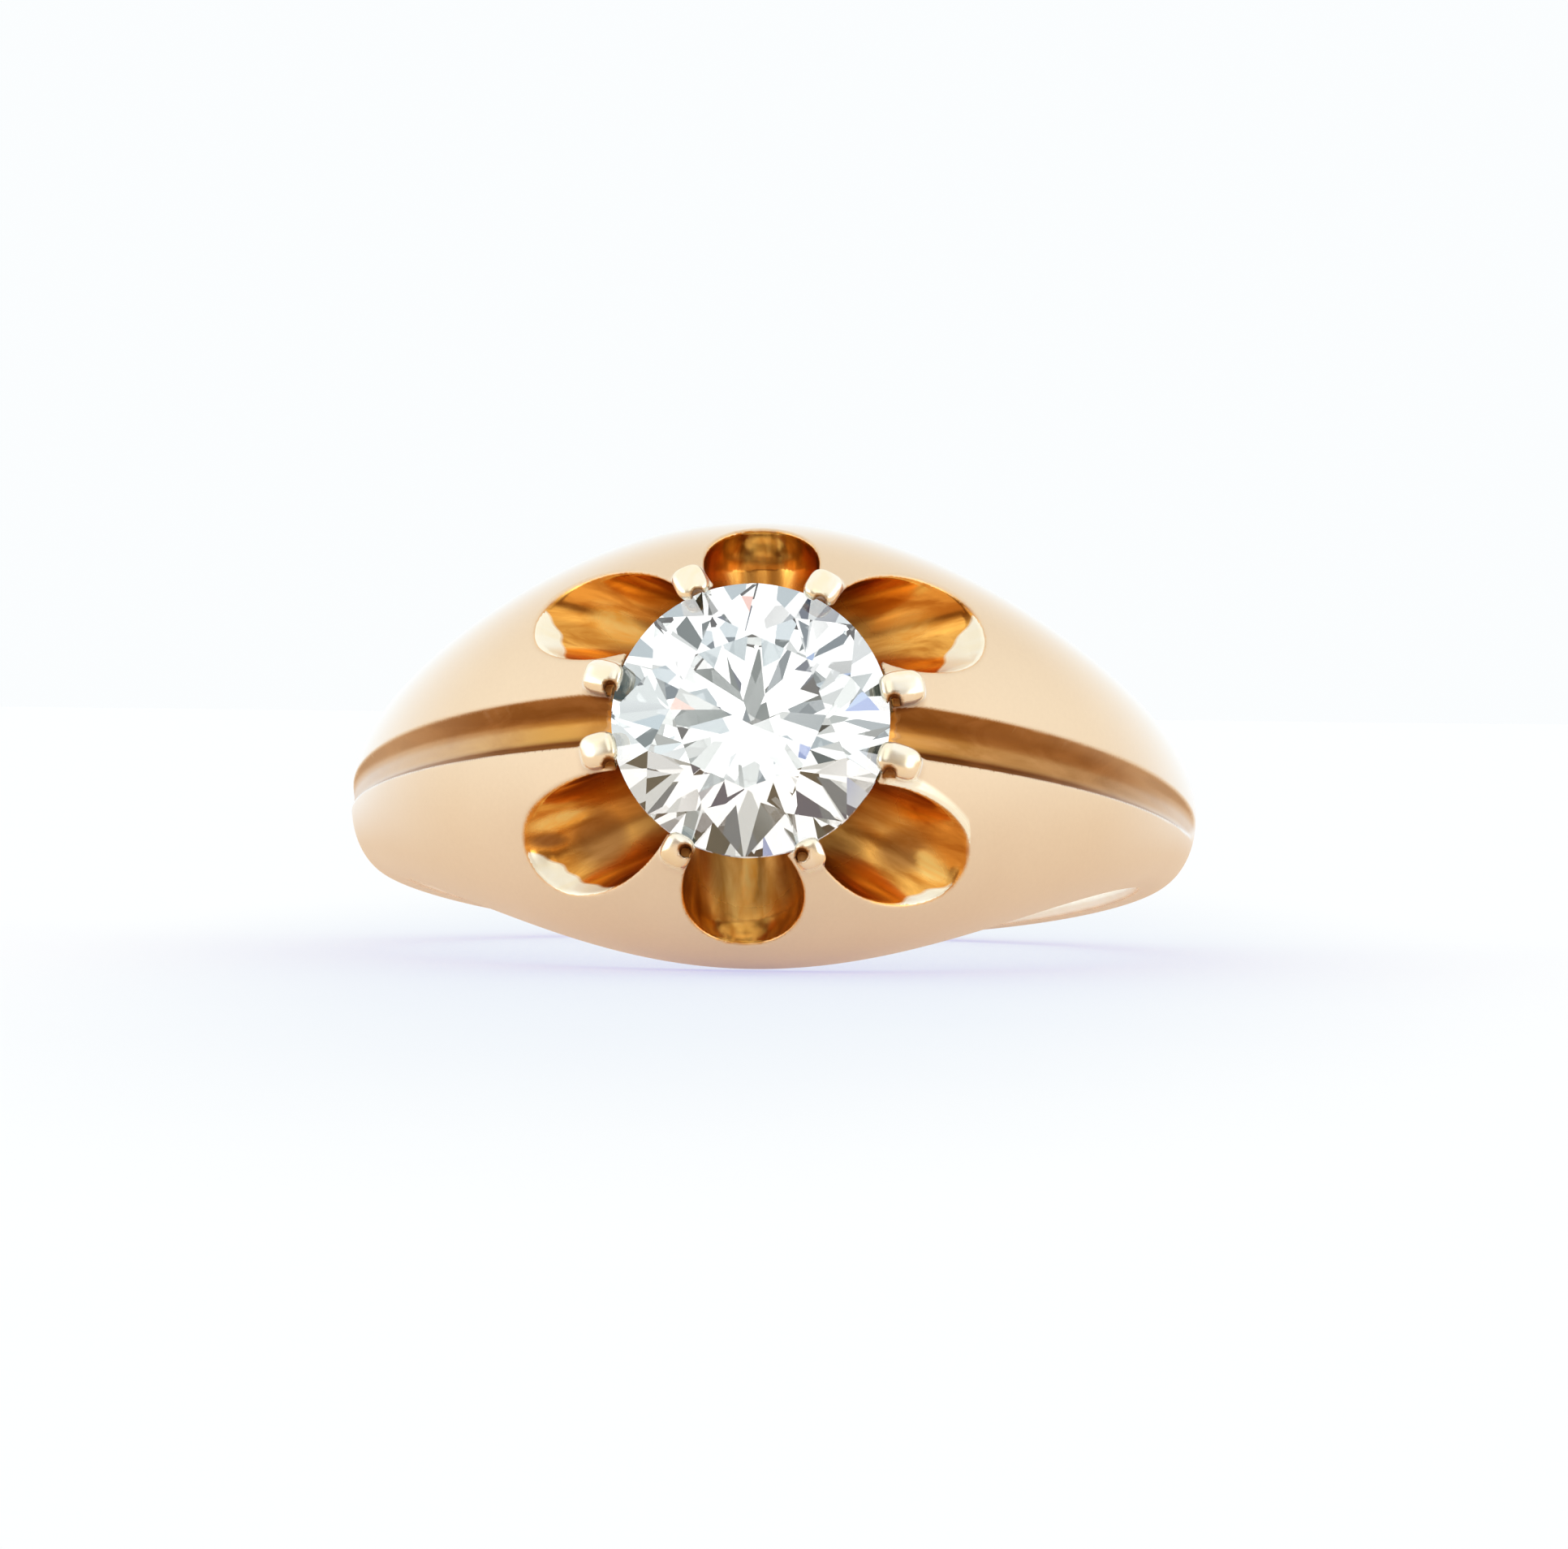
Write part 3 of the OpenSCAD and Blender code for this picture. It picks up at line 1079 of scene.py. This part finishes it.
        # painted shade on the groove walls and in the nicks
        wall = np.maximum(grooved * self.walls(y), nick * (up > -self.nick_depth))
        # painted highlights in the scoops, which also keep the painted shade off them
        gleam = cut * (1.0 - groove) * in_head * self.spots(self.painted_highlights, x, y)
        # painted shade round the stone and in the shade ovals, kept off the claws, the bore's rim
        # and low parts
        shade = self.under_shade * (1.0 - ramp(out, *self.under_stone))
        shade = np.maximum(shade, self.spots(self.shades, x, y)) * (1.0 - claw)
        shade *= cut * (1.0 - rim) * ramp(z, *self.shade_foot)
        wall = np.maximum(wall, shade * (1.0 - ramp(gleam, *self.highlight_over)))
        masks = {Mask.POLISHED: cut * (1.0 - groove), Mask.END: end, Mask.GROOVE_FINISH_AND_SHADE: grooved,
                 Mask.PAINTED_HIGHLIGHT: gleam, Mask.WALL: wall, Mask.RIM_HIGHLIGHT: rim, Mask.RAISED_POLISH_AND_HIGHLIGHT: claw}
        for mask, share in masks.items():
            layer = data.attributes.new(mask.value, "FLOAT", "POINT")
            layer.data.foreach_set("value", share.astype(np.float32))
        layer = data.attributes.new(CUT_PLACE, "FLOAT_VECTOR", "POINT")
        spot = self.cut_place(turned, groove) * MM
        layer.data.foreach_set("vector", spot.astype(np.float32).ravel())

    def end_highlights(self, turned: Grid) -> Grid:
        """Marks painted highlights, near white, at the outer ends of the scoops that run along the
        shoulders.

        Args:
            turned: turned places, as in RingForm.

        Returns:
            A share for each place.
        """
        share = np.zeros_like(turned[0])
        for number, size in enumerate(self.form.setting.scoops):
            sideways = math.cos(math.radians(size.direction))
            if abs(sideways) < self.least_sideways:
                continue
            aside, along = self.form.scoop_place(size, turned)[1:]
            (broad, high), (fine, low) = self.end_waves
            wave = high * np.sin(broad * aside + self.wave_shift * number)
            wave += low * np.sin(fine * aside)
            near = 1.0 - ramp(np.abs(self.form.scoop(size, turned)), *self.end_edge)
            out = along - self.end_lean * aside * math.copysign(1.0, sideways) - self.end_from
            out += self.end_wave * wave
            share = np.maximum(share, near * np.clip(0.5 + out, 0.0, 1.0))
        return share

    def spots(self, spots: tuple[Spot, ...], x: Grid, y: Grid) -> Grid:
        """Marks soft oval places.

        Args:
            spots: the ovals.
            x: turned places across the ring.
            y: turned places along the finger axis.

        Returns:
            A share for each place.
        """
        share = np.zeros_like(x)
        for spot in spots:
            along, aside = rotated(x - spot.x, y - spot.y, spot.turn)
            away = np.hypot(along / spot.long, aside / spot.wide)
            share = np.maximum(share, spot.strength * (1.0 - ramp(away, *self.spot_edge)))
        return share

    def walls(self, y: Grid) -> Grid:
        """Marks the two side walls of the grooves, where shade is painted, for turned places along
        the finger axis.
        """
        up, down = self.form.setting.groove_edges()
        return np.maximum(ramp(y, up + self.wall_up[0], up + self.wall_up[1]),
                          ramp(-y, down + self.wall_down[0], down + self.wall_down[1]))

    def bright_cut_highlight(self, turned: Grid) -> Grid:
        """Marks a painted highlight, hatched by the cutting lines, that runs along the upper side of
        the last scoop.

        Args:
            turned: turned places, as in RingForm.

        Returns:
            A share for each place.
        """
        size = self.form.setting.scoops[-1]
        away = self.form.scoop(size, turned)
        aside = self.form.scoop_place(size, turned)[1]
        x, (first, last), (rise, fall) = turned[0], self.bright_run, self.bright_fade
        wide = self.bright_wide * (1.0 - self.bright_taper * ramp(x, first, last))
        share = np.clip(0.5 + wide - away, 0.0, 1.0) * ramp(aside, *self.bright_aside)
        share = share * ramp(x, first, first + rise) * (1.0 - ramp(x, last - fall, last))
        return share * (turned[2] > self.head_z)

    def cut_place(self, turned: Grid, groove: Grid) -> Grid:
        """Finds places across and along each cut, for the lines that the cutting leaves.

        Args:
            turned: turned places, as in RingForm.
            groove: share of groove at each place.

        Returns:
            Across, along and a number for the cut, one row per place.
        """
        form = self.form
        x, y, z = turned
        rows = turned.T
        best = np.full_like(x, self.line_reach)
        for number, size in enumerate(form.setting.scoops):
            away = np.abs(form.scoop(size, turned))
            above, aside, along = form.scoop_place(size, turned)
            near = away < best
            best = np.minimum(best, away)
            across = np.arctan2(aside, -above) * size.radius
            row = np.stack([across, along, np.full_like(x, self.cut_apart * (number + 1))], axis=1)
            rows = np.where(near[:, None], row, rows)
        turn = np.arctan2(np.abs(x), z) * form.band.shoulder_r
        row = np.stack([y, turn, np.sign(x) * self.grooves_apart], axis=1)
        return np.where(groove[:, None] > 0.5, row, rows)

    def build(self) -> bpy.types.Object:
        """Makes and dresses the ring.

        Returns:
            The ring's object.
        """
        thing = self.mesh()
        thing.data.materials.append(self.finish.material())
        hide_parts("ring_body")
        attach(thing, "root")
        return thing


@dataclass(frozen=True)
class Cut:
    """Proportions of the round brilliant.

    Table, crown and pavilion are shares of the diameter, stars and lower facets shares of the way
    that they reach, and the girdle's thickness is in mm.
    """

    table: float = 0.56
    crown: float = 0.1498
    pavilion: float = 0.435
    girdle: float = 0.12
    stars: float = 0.5
    lower: float = 0.77
    folds: int = 8
    girdle_sides: int = 96


def circle(count: int, radius: float, height: float, start: float = 0.0) -> list[list[float]]:
    """Points evenly round the stone, the first at start in degrees, in mm."""
    turns = [math.radians(start + 360.0 * i / count) for i in range(count)]
    return [[radius * math.cos(a), radius * math.sin(a), height] for a in turns]


@dataclass
class Stone:
    """The round brilliant with its table, crown, girdle and pavilion."""

    place: Place
    diameter: float = 6.5
    setting: SettingSizes = field(default_factory=SettingSizes)
    cut: Cut = field(default_factory=Cut)
    finish: StoneFinish = field(default_factory=StoneFinish)

    def points(self) -> list[list[float]]:
        """All corners of the facets, from the table down to the tip.

        Returns:
            The corners in mm, in the pattern's frame with the girdle at 0.
        """
        c, n = self.cut, self.cut.folds
        half = 180.0 / n
        r = self.diameter / 2 / math.cos(math.radians(half / 2))
        lean = math.cos(math.radians(half))
        table, thick = self.diameter / 2 * c.table, c.girdle / 2
        crown, pavilion = c.crown * self.diameter, c.pavilion * self.diameter
        mid_r = table * lean + c.stars * (r - table * lean)
        mid_z = thick + (r - mid_r * lean) * crown / (r - table)
        low_r = r * (1.0 - c.lower)
        low_z = -thick - (r - low_r * lean) * pavilion / r
        return (circle(n, table, thick + crown) + circle(n, mid_r, mid_z, half)
                + circle(2 * n, r, thick) + circle(2 * n, r, -thick)
                + circle(n, low_r, low_z, half) + [[0.0, 0.0, -thick - pavilion]])

    def facets(self) -> list[list[int]]:
        """The facets as corner numbers, seen from outside.

        Returns:
            One list of corners per facet.
        """
        n = self.cut.folds
        mid, top, low, deep, tip = n, 2 * n, 4 * n, 6 * n, 7 * n
        faces = [list(range(n))]
        for i in range(n):
            j, b = (i + 1) % n, (i + n - 1) % n
            near, far, after = 2 * i, 2 * i + 1, 2 * j
            faces += [
                [i, mid + i, j],
                [i, mid + b, top + near, mid + i],
                [mid + i, top + near, top + far],
                [mid + i, top + far, top + after],
                [top + near, low + near, low + far, top + far],
                [top + far, low + far, low + after, top + after],
                [deep + i, low + far, low + near],
                [deep + i, low + after, low + far],
                [tip, deep + i, low + near, deep + b],
            ]
        return faces

    def rounded(self, data: bpy.types.Mesh) -> None:
        """Cuts the facets off at the round girdle.

        Args:
            data: the mesh of the facets, in mm.
        """
        sides = self.cut.girdle_sides
        reach = self.diameter / 2 * math.cos(math.pi / sides)
        skin = bmesh.new()
        skin.from_mesh(data)
        for i in range(sides):
            a = 2.0 * math.pi * i / sides
            out = Vector((math.cos(a), math.sin(a), 0.0))
            whole = skin.verts[:] + skin.edges[:] + skin.faces[:]
            cut = bmesh.ops.bisect_plane(skin, geom=whole, plane_co=out * reach, plane_no=out,
                                         clear_outer=True)
            edges = [e for e in cut["geom_cut"] if isinstance(e, bmesh.types.BMEdge)]
            bmesh.ops.edgeloop_fill(skin, edges=edges)
        bmesh.ops.recalc_face_normals(skin, faces=skin.faces[:])
        skin.to_mesh(data)
        skin.free()

    def build(self) -> bpy.types.Object:
        """Makes and dresses the stone.

        Returns:
            The stone's object.
        """
        data = bpy.data.meshes.new("brilliant_stone")
        data.from_pydata(self.points(), [], self.facets())
        self.rounded(data)
        px, py, pz = corners_of(data).T
        x, y = rotated(px, py, -self.setting.turn_deg)
        laid = self.place.laid(np.stack([x, y, pz + self.setting.girdle_z], 1))
        data.vertices.foreach_set("co", laid.astype(np.float32).ravel())
        data.update()
        thing = bpy.data.objects.new("brilliant_stone", data)
        bpy.context.scene.collection.objects.link(thing)
        data.materials.append(self.finish.material())
        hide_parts("stone")
        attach(thing, "root")
        return thing


@dataclass(frozen=True)
class Patch:
    """A soft round patch of the room: it starts at fades and is whole at full, both cosines."""

    towards: Triple
    fades: float
    full: float
    colour: Colour


@dataclass(frozen=True)
class Studio:
    """The pale floor, the soft surround and the camera."""

    floor_half: float = 3.0
    floor_grain: float = 0.0004
    floor_strength: float = 0.2
    floor_bump: float = 0.05
    floor_rough: float = 0.8
    floor_colour: Colour = (0.56, 0.54, 0.23)
    floor_darker: float = 0.97
    # painted reflection: the floor's warm dark colour as glossy rays see it
    floor_in_gold: Colour = (0.82, 0.57, 0.35)
    floor_glow: Colour = (0.41, 0.445, 0.77)
    # painted shadow: the floor's glow is darker and more lilac in an oval round the ring, for camera
    # rays only
    shaded_glow: Colour = (0.30, 0.36, 0.73)
    shade_span: Span = (0.006, 0.020)
    shade_long: float = 0.26
    wall_colour: Colour = (1.0, 1.0, 1.0)
    seen_colour: Colour = (0.965, 0.985, 0.995)
    room: tuple[Patch, ...] = (
        Patch((0.05, -0.98, -0.15), 0.62, 0.88, (0.26, 0.16, 0.09)),
        Patch((0.0, -0.90, 0.44), 0.95, 0.98, (1.25, 1.22, 1.15)),
        Patch((-1.0, -0.1, 0.1), 0.80, 0.95, (1.4, 1.5, 1.55)),
        Patch((1.0, -0.1, 0.1), 0.80, 0.95, (1.4, 1.5, 1.55)),
        Patch((-0.80, -0.58, 0.12), 0.95, 0.975, (2.6, 2.6, 2.5)),
        Patch((0.80, -0.58, 0.12), 0.95, 0.975, (2.6, 2.6, 2.5)),
    )
    wall_in_stone: Colour = (1.4, 1.42, 1.40)
    room_in_stone: tuple[Patch, ...] = (
        Patch((-0.26, -0.81, -0.52), 0.975, 0.983, (0.17, 0.21, 0.20)),
        Patch((-0.16, -0.98, -0.14), 0.964, 0.972, (0.10, 0.14, 0.14)),
        Patch((0.71, -0.59, -0.40), 0.963, 0.971, (0.02, 0.03, 0.04)),
        Patch((-0.12, -0.78, 0.61), 0.986, 0.994, (0.02, 0.04, 0.03)),
        Patch((0.03, -0.93, -0.37), 0.911, 0.919, (0.78, 0.82, 0.80)),
        Patch((-0.10, -0.86, 0.50), 0.980, 0.988, (0.52, 0.62, 0.66)),
        Patch((0.17, -0.98, -0.08), 0.982, 0.990, (0.14, 0.19, 0.22)),
        Patch((-0.08, -0.48, -0.87), 0.965, 0.973, (0.03, 0.04, 0.03)),
        Patch((-0.74, -0.62, -0.26), 0.966, 0.974, (0.03, 0.04, 0.03)),
        Patch((-0.53, -0.84, 0.15), 0.984, 0.992, (0.03, 0.04, 0.03)),
        Patch((-0.81, -0.50, 0.30), 0.979, 0.987, (0.36, 0.42, 0.42)),
        Patch((0.53, -0.85, 0.06), 0.978, 0.986, (0.05, 0.08, 0.14)),
        Patch((0.34, -0.81, -0.47), 0.968, 0.976, (0.04, 0.06, 0.05)),
        Patch((0.54, -0.71, -0.44), 0.969, 0.977, (0.86, 0.90, 0.90)),
        Patch((-0.18, -0.95, 0.26), 0.9993, 0.9996, (1.15, 0.72, 0.62)),
        Patch((0.147, -0.897, -0.417), 0.9975, 0.9985, (0.22, 0.33, 0.72)),
        Patch((0.07, -0.81, -0.58), 0.9982, 0.9988, (0.40, 0.55, 0.85)),
    )
    around: float = 3.1
    below_stone: float = 11.8
    roll: float = 1.3
    distance: float = 0.130
    focal_px: float = 6880.0
    image_w: int = 1932
    image_h: int = 1908
    stone_px: Span = (925.0, 887.0)
    sensor: float = 36.0

    def floor(self) -> bpy.types.Object:
        """Lays the floor.

        Returns:
            The floor's object.
        """
        h = self.floor_half
        corners = np.array([[-h, -h, 0.0], [h, -h, 0.0], [h, h, 0.0], [-h, h, 0.0]])
        thing = mesh_object("floor", corners, np.array([[0, 1, 2, 3]]))
        thing.data.materials.append(self.paper())
        return thing

    def paper(self) -> bpy.types.Material:
        """Builds the floor's material, with a painted shadow round the ring that only camera rays
        see.

        Returns:
            The material, which the gold mirrors as a painted warm dark table, and which glows with
            the room's painted patches where it is seen through the stone.
        """
        n, paper = Nodes.of_material("pale floor")
        grain = n.add("ShaderNodeGroup", node_tree=GrainGroup.tree(), Size=self.floor_grain,
                      Strength=self.floor_strength).outputs
        darker = tuple(self.floor_darker * v for v in self.floor_colour)
        path = n.add("ShaderNodeLightPath").outputs
        clear = n.math("LESS_THAN", path["Transmission Depth"], 0.5)
        in_gold = n.math("MULTIPLY", path["Is Glossy Ray"], clear)
        back = n.add("ShaderNodeNewGeometry").outputs["Incoming"]
        facing = n.add("ShaderNodeVectorMath", operation="SCALE", Vector=back, Scale=-1.0)
        oval = n.add("ShaderNodeMapping", Scale=(1.0, self.shade_long, 0.0),
                     Vector=n.add("ShaderNodeTexCoord").outputs["Object"]).outputs[0]
        far = n.add("ShaderNodeVectorMath", operation="LENGTH", Vector=oval).outputs["Value"]
        away = n.ramp(far, self.shade_span)
        # painted shadow round the ring, for camera rays only
        shaded = n.math("MULTIPLY", path["Is Camera Ray"], n.math("SUBTRACT", 1.0, away))
        glow = n.mix(shaded, self.floor_glow, self.shaded_glow)
        # painted light: seen through the stone, the floor glows with the room's patches
        through = self.painted(n, facing.outputs[0], self.wall_in_stone, self.room_in_stone)
        glow = n.mix(clear, through, glow)
        black = (0.0, 0.0, 0.0)
        colour = n.mix(clear, black, n.mix(grain["Shade"], darker, self.floor_colour))
        bump = n.add("ShaderNodeBump", Strength=self.floor_bump, Distance=0.00001,
                     Height=grain["Height"])
        # painted reflection: glossy rays see a warm dark colour and no glow
        n.finish(Base_Color=n.mix(in_gold, colour, self.floor_in_gold),
                 Roughness=self.floor_rough, Specular_IOR_Level=0.0,
                 Emission_Color=n.mix(in_gold, glow, black),
                 Emission_Strength=1.0, Normal=bump.outputs[0])
        return paper

    def surround(self) -> None:
        """Makes the soft white surround, with the darker and brighter parts of a room in it."""
        world = bpy.data.worlds.new("white surround")
        bpy.context.scene.world = world
        world.use_nodes = True
        n = Nodes(world.node_tree)
        facing = n.add("ShaderNodeTexCoord").outputs["Generated"]
        path = n.add("ShaderNodeLightPath").outputs
        in_gold = self.painted(n, facing, self.wall_colour, self.room)
        in_stone = self.painted(n, facing, self.wall_in_stone, self.room_in_stone)
        colour = n.mix(n.math("MINIMUM", path["Transmission Depth"], 1.0), in_gold, in_stone)
        colour = n.mix(path["Is Camera Ray"], colour, self.seen_colour)
        light = n.add("ShaderNodeBackground", Color=colour, Strength=1.0)
        n.put(n.add("ShaderNodeOutputWorld").inputs[0], light.outputs[0])

    def painted(self, n: Nodes, facing: Socket, wall: Colour,
                patches: tuple[Patch, ...]) -> Socket:
        """Paints soft round patches over the surround.

        Args:
            n: the tree's helper.
            facing: the socket that gives the direction.
            wall: the colour of the surround itself.
            patches: the patches, the last one on top.

        Returns:
            The colour in each direction.
        """
        colour = wall
        for patch in patches:
            dot = n.add("ShaderNodeVectorMath", operation="DOT_PRODUCT", Vector=facing)
            n.put(dot.inputs[1], Vector(patch.towards).normalized())
            share = n.ramp(dot.outputs["Value"], (patch.fades, patch.full))
            colour = n.mix(share, colour, patch.colour)
        return colour

    def camera(self, place: Place, setting: SettingSizes) -> bpy.types.Object:
        """Stands the camera where the ring is seen as it should be.

        Args:
            place: where the ring lies.
            setting: sizes of the setting, for the stone's height.

        Returns:
            The camera.
        """
        az, el = math.radians(self.around), math.radians(self.below_stone)
        back = np.array([math.sin(az) * math.cos(el), -math.sin(el),
                         math.cos(az) * math.cos(el)])
        level = np.cross([0.0, 1.0, 0.0], back)
        level /= np.linalg.norm(level)
        lean = math.radians(self.roll)
        right = math.cos(lean) * level + math.sin(lean) * np.cross(back, level)
        up = np.cross(back, right)
        turn = place.turn()
        spot = place.laid(np.array([[0.0, 0.0, setting.girdle_z]]))[0]
        spot = spot + turn @ back * self.distance
        lens = bpy.data.cameras.new("camera")
        lens.sensor_width = self.sensor
        lens.lens = self.focal_px / self.image_w * self.sensor
        lens.shift_x = (self.image_w / 2 - self.stone_px[0]) / self.image_w
        lens.shift_y = (self.stone_px[1] - self.image_h / 2) / self.image_w
        lens.clip_start, lens.clip_end = 0.005, 20.0
        eye = bpy.data.objects.new("camera", lens)
        columns = [turn @ right, turn @ up, turn @ back]
        eye.matrix_world = Matrix([[*(float(c[i]) for c in columns), float(spot[i])]
                                   for i in range(3)] + [[0.0, 0.0, 0.0, 1.0]])
        bpy.context.scene.collection.objects.link(eye)
        bpy.context.scene.camera = eye
        return eye


def main() -> None:
    logging.basicConfig(level=logging.INFO, format="%(name)s: %(message)s")
    scene = bpy.context.scene
    scene.view_settings.view_transform = "Standard"
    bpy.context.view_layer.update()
    place = Place.of_record(frame["record"])
    studio = Studio()
    studio.floor()
    studio.surround()
    studio.camera(place, SettingSizes())
    for piece in (RingBody(place).build(), Stone(place).build()):
        LOG.info("%s: %d faces", piece.name, len(piece.data.polygons))


if __name__ == "__main__":
    main()
